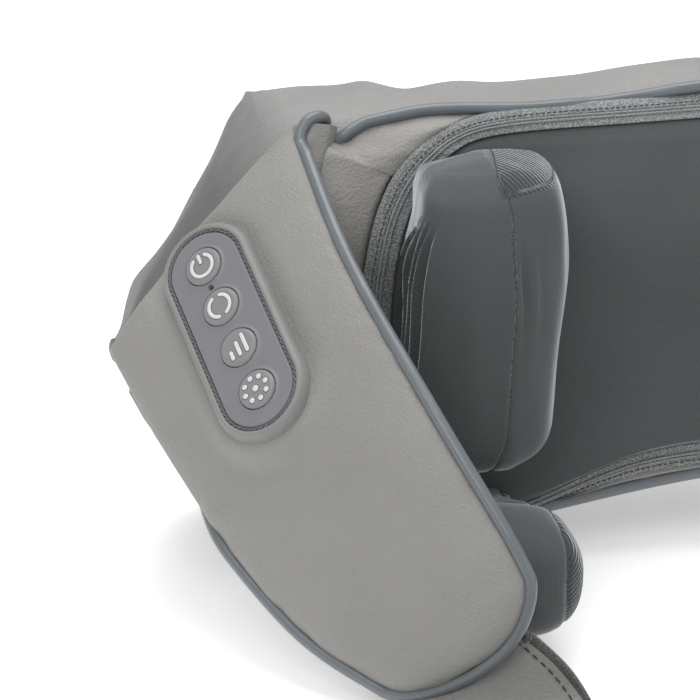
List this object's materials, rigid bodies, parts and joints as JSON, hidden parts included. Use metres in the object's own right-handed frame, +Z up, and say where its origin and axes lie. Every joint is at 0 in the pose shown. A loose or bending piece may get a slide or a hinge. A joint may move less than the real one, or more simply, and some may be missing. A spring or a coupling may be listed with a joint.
{
  "type": "neck massager",
  "caption": "Padded shiatsu yoke for the neck and shoulders: kneading claws with worm drives, zipped knit front, leather wings with a control pad, and hand straps.",
  "frame": {"origin": "centre of the bounding box, on the surface that the massager stands on", "axes": "+X to the right of someone facing its zipped front, along its width; +Y towards its back; +Z up"},
  "size_m": [0.4226, 0.4156, 0.1632],
  "materials": {
    "leather": "soft grained synthetic leather, warm grey",
    "knit": "ribbed knit, dark greenish grey",
    "zip_tape": "woven tape with a coil",
    "zip_metal": "painted slider and pull",
    "piping": "smooth coated cord, slightly glossy",
    "housing": "moulded, fine texture",
    "claw_core": "moulded glass-filled nylon",
    "steel": "drawn steel",
    "bronze": "sintered bronze",
    "acetal": "moulded acetal",
    "cell": "shrink sleeve",
    "board": "solder mask",
    "chips": "moulded chips",
    "pad": "satin silicone rubber, bluish grey",
    "lens": "smoked lens"
  },
  "bodies": {
    "base": {"back_cover": "leather", "leather_gusset": "leather", "fabric_panel": "knit", "zipper_tape": "zip_tape", "piping_body": "piping", "back_shell": "housing", "front_frame": "housing", "housing_screws": "steel", "battery_cells": "cell", "battery_holder": "housing", "main_pcb": "board", "pcb_parts": "chips", "charge_socket": "housing", "claw_bracket_l": "housing", "claw_bracket_r": "housing", "pivot_pins_l": "steel", "pivot_pins_r": "steel", "shaft_bushes_l": "bronze", "shaft_bushes_r": "bronze", "gearbox_base_l": "housing", "gearbox_base_r": "housing", "gearbox_lid_l": "housing", "gearbox_lid_r": "housing", "motor_can_l": "steel", "motor_can_r": "steel"},
    "slider": {"zipper_slider": "zip_metal"},
    "pull": {"zipper_pull": "zip_metal"},
    "wing_left": {"wing_l": "leather", "piping_wing_l": "piping", "strap_anchor_l": "leather", "control_tray": "housing", "button_pcb": "board", "tact_switches": "chips", "control_pad": "pad", "led_lens": "lens"},
    "wing_right": {"wing_r": "leather", "piping_wing_r": "piping", "strap_anchor_r": "leather"},
    "rotor_left": {"worm_rotor_l": "steel"},
    "shaft_left": {"worm_wheel_l": "acetal", "drive_shaft_l": "steel"},
    "upper_claw_left": {"upper_claw_core_l": "claw_core", "upper_claw_pad_l": "knit"},
    "lower_claw_left": {"lower_claw_core_l": "claw_core", "lower_claw_pad_l": "knit"},
    "strap_left_body": {"strap_l": "leather"},
    "rotor_right": {"worm_rotor_r": "steel"},
    "shaft_right": {"worm_wheel_r": "acetal", "drive_shaft_r": "steel"},
    "upper_claw_right": {"upper_claw_core_r": "claw_core", "upper_claw_pad_r": "knit"},
    "lower_claw_right": {"lower_claw_core_r": "claw_core", "lower_claw_pad_r": "knit"},
    "strap_right_body": {"strap_r": "leather"},
    "power_key": {"button_power": "pad"},
    "mode_key": {"button_mode": "pad"},
    "strength_key": {"button_strength": "pad"},
    "heat_key": {"button_heat": "pad"}
  },
  "joints": [
    {"name": "wing_left_flex", "type": "hinge", "parent": "base", "child": "wing_left", "pos_m": [-0.1785, 0.14178, 0.117], "axis": [-0.6759, -0.208, -0.7071], "range_deg": [0, 12], "stiffness_Nm_per_rad": 6},
    {"name": "worm_left_spin", "type": "hinge", "parent": "base", "child": "rotor_left", "pos_m": [-0.128, 0.18068, 0.079], "axis": [0, 0, 1], "continuous": true},
    {"name": "drive_left_spin", "type": "hinge", "parent": "base", "child": "shaft_left", "pos_m": [-0.128, 0.16178, 0.079], "axis": [1, 0, 0], "continuous": true},
    {"name": "upper_claw_left_swing", "type": "hinge", "parent": "base", "child": "upper_claw_left", "pos_m": [-0.09, 0.16178, 0.126], "axis": [1, 0, 0], "range_deg": [-4.2, 4.2]},
    {"name": "lower_claw_left_swing", "type": "hinge", "parent": "base", "child": "lower_claw_left", "pos_m": [-0.09, 0.16178, 0.032], "axis": [1, 0, 0], "range_deg": [-4.2, 4.2]},
    {"name": "strap_left_fold", "type": "hinge", "parent": "wing_left", "child": "strap_left_body", "pos_m": [-0.115, -0.00222, 0.0015], "axis": [-0.9903, -0.1392, 0], "range_deg": [0, 75]},
    {"name": "wing_right_flex", "type": "hinge", "parent": "base", "child": "wing_right", "pos_m": [0.1785, 0.14178, 0.117], "axis": [-0.6759, 0.208, 0.7071], "range_deg": [0, 12], "stiffness_Nm_per_rad": 6},
    {"name": "worm_right_spin", "type": "hinge", "parent": "base", "child": "rotor_right", "pos_m": [0.128, 0.18068, 0.079], "axis": [0, 0, 1], "continuous": true},
    {"name": "drive_right_spin", "type": "hinge", "parent": "base", "child": "shaft_right", "pos_m": [0.128, 0.16178, 0.079], "axis": [1, 0, 0], "continuous": true},
    {"name": "upper_claw_right_swing", "type": "hinge", "parent": "base", "child": "upper_claw_right", "pos_m": [0.09, 0.16178, 0.126], "axis": [1, 0, 0], "range_deg": [-4.2, 4.2]},
    {"name": "lower_claw_right_swing", "type": "hinge", "parent": "base", "child": "lower_claw_right", "pos_m": [0.09, 0.16178, 0.032], "axis": [1, 0, 0], "range_deg": [-4.2, 4.2]},
    {"name": "strap_right_fold", "type": "hinge", "parent": "wing_right", "child": "strap_right_body", "pos_m": [0.115, -0.00222, 0.0015], "axis": [-0.9903, 0.1392, 0], "range_deg": [0, 75]},
    {"name": "power_press", "type": "slide", "parent": "wing_left", "child": "power_key", "axis": [0.5964, 0.5257, -0.6066], "range_m": [0, 0.0008], "stiffness_N_per_m": 600},
    {"name": "mode_press", "type": "slide", "parent": "wing_left", "child": "mode_key", "axis": [0.5964, 0.5257, -0.6066], "range_m": [0, 0.0008], "stiffness_N_per_m": 600},
    {"name": "strength_press", "type": "slide", "parent": "wing_left", "child": "strength_key", "axis": [0.5964, 0.5257, -0.6066], "range_m": [0, 0.0008], "stiffness_N_per_m": 600},
    {"name": "heat_press", "type": "slide", "parent": "wing_left", "child": "heat_key", "axis": [0.5964, 0.5257, -0.6066], "range_m": [0, 0.0008], "stiffness_N_per_m": 600},
    {"name": "zip_slide", "type": "slide", "parent": "base", "child": "slider", "axis": [0, 0, 1], "range_m": [0, 0.05]},
    {"name": "pull_swing", "type": "hinge", "parent": "slider", "child": "pull", "pos_m": [0.122, 0.12228, 0.042], "axis": [-1, 0, 0], "range_deg": [0, 110]}
  ],
  "couplings": [
    {"joint": "worm_left_spin", "follows": "drive_left_spin", "ratio": -24},
    {"joint": "lower_claw_left_swing", "follows": "upper_claw_left_swing", "ratio": 1},
    {"joint": "worm_right_spin", "follows": "drive_right_spin", "ratio": 24},
    {"joint": "lower_claw_right_swing", "follows": "upper_claw_right_swing", "ratio": 1}
  ]
}
